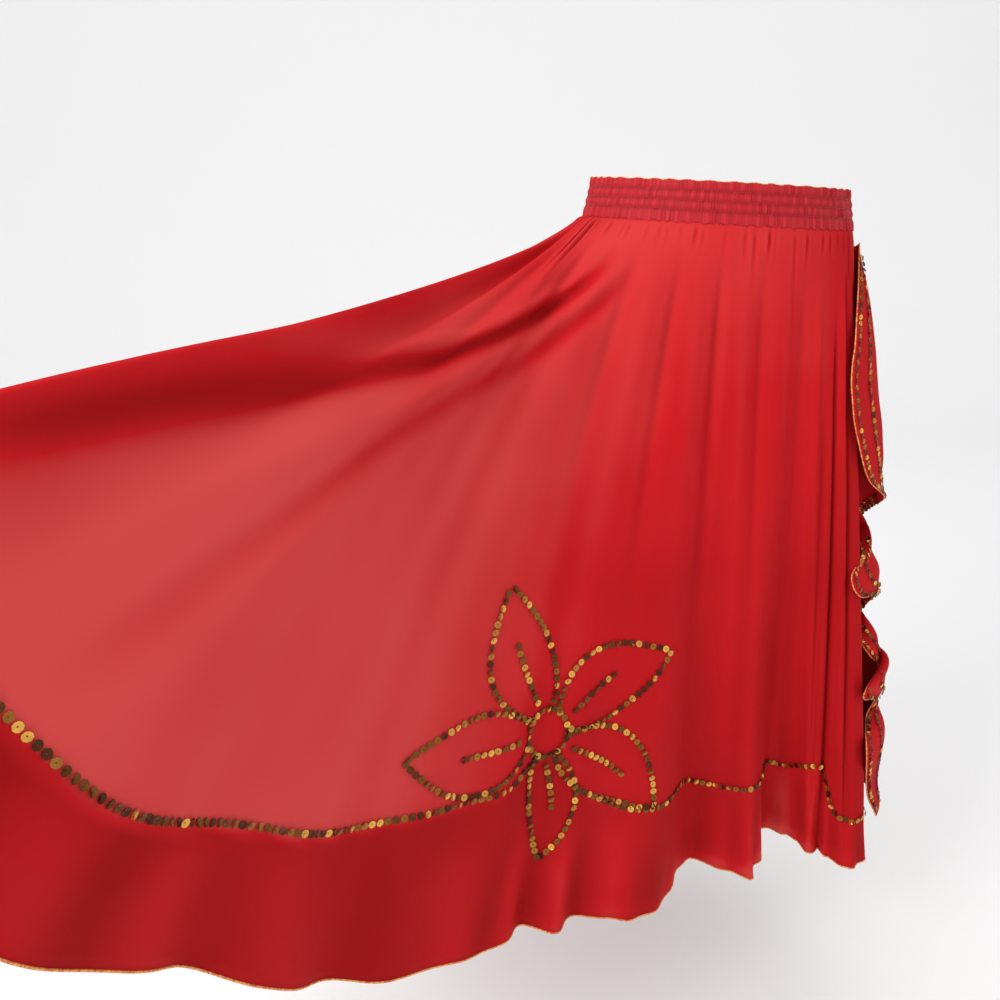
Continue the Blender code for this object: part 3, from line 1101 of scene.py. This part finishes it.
@dataclass
class Flower:
    """Five-petalled outline of sequins, drawn flat and laid on the cloth."""

    turn: float
    down: float
    mirrored: bool = False
    ring: float = 0.0265
    pitch: float = 0.0080
    petal_foot: float = 0.85
    petal_join: float = 0.35
    bow: float = 0.010
    lift: float = 0.12

    def lines(self) -> list[Array]:
        """The flower's outlines, flat, in metres from its middle."""
        angle = np.linspace(0, 2 * np.pi, 80)
        drawn = [self.ring * np.stack([np.cos(angle) * 0.9, np.sin(angle)], axis=1)]
        for heading, length, width, vein in PETALS:
            t = np.linspace(0, 1, 60)
            wide = width / 2 * np.sin(np.pi * t**0.85) ** 0.85
            wide += self.ring * self.petal_join * (1 - t) ** 2
            foot = self.ring * self.petal_foot
            along = foot + (length - foot) * t
            bow = self.bow * np.sin(np.pi * t)
            way = math.radians(heading)
            ahead = np.array([math.cos(way), math.sin(way)])
            aside = np.array([-math.sin(way), math.cos(way)])
            for sign in (1, -1):
                drawn.append(along[:, None] * ahead + (sign * wide + bow)[:, None] * aside)
            t = np.linspace(0.06, vein + 0.12, 30)
            spine = self.ring + (length - self.ring) * t
            drawn.append(spine[:, None] * ahead + (self.bow * np.sin(np.pi * t))[:, None] * aside)
        return drawn

    def sew(self, sequins: Sequins, cloth: BVHTree) -> None:
        """Lays the flower on the cloth.

        Args:
            sequins: the sequins to sew it with.
            cloth: the cloth's faces.
        """
        turn, down = np.array([self.turn]), np.array([self.down])
        middle = FORM.base(turn, down)[0]
        out = FORM.base_ways(turn, down)[1][0]
        level = unit(np.cross(np.array([0, 0, 1.0]), out))
        up = np.cross(out, level)
        hand = level * (-1 if self.mirrored else 1)
        for line in self.lines():
            flat = middle + line[:, :1] * hand + line[:, 1:] * up
            laid = self.on_cloth(flat, out, cloth)
            if laid is None:
                continue
            points, facings = laid
            at = spaced(points, self.pitch)
            sequins.sew(read_between(points, at), unit(read_between(facings, at)))

    def on_cloth(
        self, flat: Array, out: Array, cloth: BVHTree
    ) -> tuple[Array, Array] | None:
        """Drops flat points onto the cloth, with the way that the cloth faces there."""
        points, facings = [], []
        for point in flat:
            start = Vector(point + out * self.lift)
            hit, normal, _, _ = cloth.ray_cast(start, Vector(-out), 0.3)
            if hit is not None:
                facing = normal if normal.dot(Vector(out)) > 0 else -normal
                points.append(hit[:])
                facings.append(facing[:])
        return (np.array(points), np.array(facings)) if len(points) > 3 else None


@dataclass
class SideFlounce:
    """Tiered flounce of the right side seam, with two rows of sequins and a gold edge."""

    along: int = 420
    out: int = 22
    wall: float = 0.0006
    gap: float = 0.0008
    rows: tuple[float, ...] = (0.80, 0.965)
    pitch: float = 0.0070
    bulge_way: Triple = (1.0, 0.3, 0.1)
    flutter: float = 0.0012
    flutter_way: Triple = (0.3, 1.0, 0.2)
    edge_radius: float = 0.0008
    sequin_lift: float = 0.0004

    def surface(self, place: Array, share: Array) -> Array:
        """Points of the flounce, share 0 at the seam and 1 at its free edge."""
        read = smooth_table(FLOUNCE, place)
        edge, bulge = read[:, :3], read[:, 3:]
        zero = np.zeros_like(place)
        seam = FORM.at(zero, place) + FORM.facing(zero, place) * self.gap
        bend = (seam + edge) / 2 + bulge * np.array(self.bulge_way)
        s = share[:, None]
        flutter = self.flutter * s * np.sin(place * 95 + 2 * np.sin(place * 23))[:, None]
        curve = seam * (1 - s) ** 2 + 2 * bend * s * (1 - s) + edge * s**2
        return curve + flutter * np.array(self.flutter_way)

    def facing(self, place: Array, share: Array) -> Array:
        """The direction out of the flounce."""
        down = self.surface(place + 0.001, share) - self.surface(place - 0.001, share)
        side = self.surface(place, share + 0.01) - self.surface(place, share - 0.01)
        return unit(np.cross(down, side))

    def made(self, finish: Material, edge: Material) -> list[Object]:
        """Builds the flounce and the gold thread of its edge."""
        first, last = FLOUNCE[0][0], FLOUNCE[-1][0]
        mesh, along, share = grid_mesh(self.along, self.out)
        place = first + (last - first) * along
        shape_to(mesh, self.surface(place, share))
        mesh.normal_update()
        piece = placed("flounce_cloth", mesh, finish)
        # The flounce's chiffon colour is painted paler towards its free edge.
        set_attribute(piece, "thin", 0.34 + 0.14 * share)
        thicken(piece, self.wall)
        run = np.linspace(first, last, 700)
        path = self.surface(run, np.ones_like(run))
        inwards = np.linspace(1, 0.02, 60)[1:]
        foot = self.surface(np.full_like(inwards, last), inwards)
        whole = np.concatenate([path, foot])
        return [piece, tube("flounce_edge_thread", whole, self.edge_radius, edge)]

    def sew(self, sequins: Sequins) -> None:
        """Sews both rows of sequins."""
        for row in self.rows:
            run = np.linspace(FLOUNCE[0][0] + 0.02, FLOUNCE[-1][0] - 0.005, 3000)
            marks = spaced(self.surface(run, np.full_like(run, row)), self.pitch)
            at = np.interp(marks, np.arange(len(run)), run)
            share = np.full_like(at, row)
            points, facing = self.surface(at, share), self.facing(at, share)
            outward = np.where(facing[:, :1] * 0.4 - facing[:, 1:2] > 0, facing, -facing)
            sequins.sew(points + outward * self.sequin_lift, outward)


@dataclass(frozen=True)
class Lamp:
    """A square soft light."""

    name: str
    place: Triple
    size: float
    power: float
    aim: Triple

    def lit(self) -> None:
        """Puts the light into the scene."""
        data = bpy.data.lights.new(self.name, "AREA")
        data.size, data.energy = self.size, self.power
        lamp = bpy.data.objects.new(self.name, data)
        lamp.location = self.place
        way = Vector(self.aim) - Vector(self.place)
        lamp.rotation_euler = way.to_track_quat("-Z", "Y").to_euler()
        bpy.context.scene.collection.objects.link(lamp)


@dataclass
class Studio:
    """Floor, light and camera."""

    floor_height: float = -1.05
    floor_width: float = 16.0
    floor_run: float = 14.0
    floor_front: float = -6.0
    bend_from: float = 3.0
    bend_radius: float = 1.6
    lamps: tuple[Lamp, ...] = (
        Lamp("key", (-2.2, -1.9, 1.2), 1.3, 66.0, (-0.1, 0.0, -0.35)),
        Lamp("fill", (2.2, -1.6, 0.4), 2.2, 4.0, (0.0, 0.0, -0.4)),
        Lamp("top", (0.2, 0.5, 2.4), 2.0, 10.0, (0.0, 0.0, 0.0)),
    )
    surround: float = 0.93
    sensor: float = 36.0
    lens: float = 31.68
    pitch: float = 18.8
    place: Triple = (-0.238, -1.016, 0.003)

    def floor(self, finish: Material) -> Object:
        """A plain floor that curves up behind the skirt."""
        mesh, across, back = grid_mesh(2, 48)
        run = back * self.floor_run + self.floor_front
        bend = np.clip(run - self.bend_from, 0, None)
        angle = np.clip(bend / self.bend_radius, 0, math.pi / 2)
        extra = np.clip(bend - self.bend_radius * math.pi / 2, 0, None)
        y = np.minimum(run, self.bend_from) + self.bend_radius * np.sin(angle)
        z = self.floor_height + self.bend_radius * (1 - np.cos(angle)) + extra
        shape_to(mesh, np.stack([(across - 0.5) * self.floor_width, y, z], axis=1))
        return placed("floor", mesh, finish)

    def light(self) -> None:
        """Soft light from both sides and above."""
        for lamp in self.lamps:
            lamp.lit()
        world = bpy.data.worlds.new("studio")
        world.use_nodes = True
        sky = world.node_tree.nodes["Background"]
        sky.inputs[0].default_value = (1.0, 1.0, 1.0, 1.0)
        sky.inputs[1].default_value = self.surround
        bpy.context.scene.world = world
        bpy.context.scene.view_settings.view_transform = "Standard"

    def camera(self) -> None:
        """The camera at the viewing angle of the picture."""
        data = bpy.data.cameras.new("camera")
        data.sensor_width, data.lens = self.sensor, self.lens
        camera = bpy.data.objects.new("camera", data)
        camera.location = self.place
        camera.rotation_euler = (math.radians(90.0 - self.pitch), 0.0, 0.0)
        bpy.context.scene.collection.objects.link(camera)
        bpy.context.scene.camera = camera


def cloth_faces(piece: Object) -> BVHTree:
    """A panel's outside, for laying things on it."""
    mesh = bmesh.new()
    mesh.from_mesh(piece.data)
    tree = BVHTree.FromBMesh(mesh)
    mesh.free()
    return tree


def main() -> None:
    """Builds every piece in order, attaches each to the root body and hides the model's own parts
    for the band, panels and flounce.
    """
    chiffon = ChiffonFinish().made()
    shirred = BandFinish().made()
    bronze = SequinFinish().made()
    gold = ThreadFinish(
        "gold_thread", (0.80, 0.43, 0.10), (0.55, 0.06, 0.03), metallic=0.35, roughness=0.45
    ).made()
    red_thread = ThreadFinish("shirring_thread", (0.42, 0.010, 0.018), (0.30, 0.004, 0.010)).made()

    band, stitches, band_edge = Waistband().made(shirred, red_thread, gold)
    front_panel = Panel(Side.FRONT, first=0.0, last=184.0, across=430, down=96)
    back_panel = Panel(Side.BACK, first=184.0, last=CIRCLE, across=330, down=84)
    front, front_hem = front_panel.made(chiffon, gold)
    back, back_hem = back_panel.made(chiffon, gold)
    flounce_maker = SideFlounce()
    flounce, flounce_edge = flounce_maker.made(chiffon, gold)

    front_sequins, back_sequins = Sequins("front_sequins"), Sequins("back_sequins")
    line = SequinLine()
    line.sew(front_sequins, 0.3, 183.7)
    line.sew(back_sequins, 184.3, 359.7)
    Flower(turn=122.5, down=0.728).sew(front_sequins, cloth_faces(front))
    Flower(turn=285.0, down=0.74).sew(back_sequins, cloth_faces(back))
    flounce_sequins = Sequins("flounce_sequins", radius=0.0030)
    flounce_maker.sew(flounce_sequins)
    front_row = front_sequins.made(bronze)
    back_row = back_sequins.made(bronze)
    flounce_row = flounce_sequins.made(bronze)

    pieces = [band, stitches, band_edge, front, front_hem, back, back_hem, flounce, flounce_edge]
    for piece in (*pieces, front_row, back_row, flounce_row):
        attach(piece, "root")
        log.info("%s: %d faces", piece.name, len(piece.data.polygons))
    for piece, node, slot in (
        (band, "waistband", "band_cloth"),
        (front, "front_panel", "chiffon"),
        (back, "back_panel", "chiffon"),
        (flounce, "side_flounce", "chiffon"),
    ):
        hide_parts(node)

    studio = Studio()
    studio.floor(StudioFinish().made())
    studio.light()
    studio.camera()


if __name__ == "__main__":
    main()
